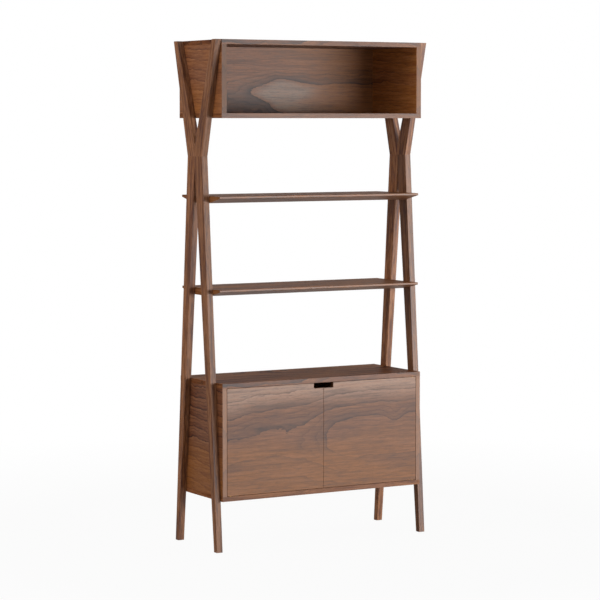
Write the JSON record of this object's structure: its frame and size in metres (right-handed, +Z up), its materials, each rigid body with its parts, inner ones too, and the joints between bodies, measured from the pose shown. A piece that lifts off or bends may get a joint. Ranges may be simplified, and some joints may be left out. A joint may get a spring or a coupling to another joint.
{
  "type": "bookshelf",
  "caption": "Walnut bookshelf: zigzag side frames of tapering limbs carry an open cubby, bevelled open shelves and a low cabinet with inset pivot-hinged doors.",
  "frame": {"origin": "on the floor, under the middle of the bookshelf's width and depth", "axes": "+Z up, +X to the right seen from the front, +Y to the back, so the doors face -Y"},
  "size_m": [0.968, 0.355, 2],
  "materials": {
    "walnut": "satin oil on planed walnut",
    "beech_dowel": "plain turned beech",
    "hinge_brass": "satin",
    "bright_steel": "bright zinc",
    "black_nylon": "matt moulded"
  },
  "bodies": {
    "frame": {"cabinet_back": "walnut", "cabinet_bottom": "walnut", "cabinet_dowels": "beech_dowel", "cabinet_left_side": "walnut", "cabinet_right_side": "walnut", "cabinet_top": "walnut", "catch_magnets": "bright_steel", "catch_screws": "bright_steel", "cubby_back": "walnut", "cubby_bottom": "walnut", "cubby_dowels": "beech_dowel", "cubby_left_side": "walnut", "cubby_right_side": "walnut", "cubby_top": "walnut", "door_catch": "black_nylon", "foot_glides": "black_nylon", "hinge_plate_screws": "bright_steel", "hinge_washers": "hinge_brass", "inner_shelf": "walnut", "left_frame_dowels": "beech_dowel", "left_front_arm": "walnut", "left_front_leg": "walnut", "left_lower_hinge_plate": "hinge_brass", "left_rear_arm": "walnut", "left_rear_leg": "walnut", "left_upper_hinge_plate": "hinge_brass", "lower_shelf": "walnut", "right_frame_dowels": "beech_dowel", "right_front_arm": "walnut", "right_front_leg": "walnut", "right_lower_hinge_plate": "hinge_brass", "right_rear_arm": "walnut", "right_rear_leg": "walnut", "right_upper_hinge_plate": "hinge_brass", "seam_dowels": "beech_dowel", "shelf_pins": "bright_steel", "upper_shelf": "walnut", "waist_dowels": "beech_dowel"},
    "door_left": {"left_door": "walnut", "left_lower_hinge_leaf": "hinge_brass", "left_upper_hinge_leaf": "hinge_brass", "left_leaf_screws": "bright_steel", "left_striker": "bright_steel"},
    "door_right": {"right_door": "walnut", "right_lower_hinge_leaf": "hinge_brass", "right_upper_hinge_leaf": "hinge_brass", "right_leaf_screws": "bright_steel", "right_striker": "bright_steel"}
  },
  "joints": [
    {"name": "left_door_hinge", "type": "hinge", "parent": "frame", "child": "door_left", "pos_m": [-0.4235, -0.1715, 0.432], "axis": [0, 0, -1], "range_deg": [0, 110]},
    {"name": "right_door_hinge", "type": "hinge", "parent": "frame", "child": "door_right", "pos_m": [0.4235, -0.1715, 0.432], "axis": [0, 0, 1], "range_deg": [0, 110]}
  ]
}
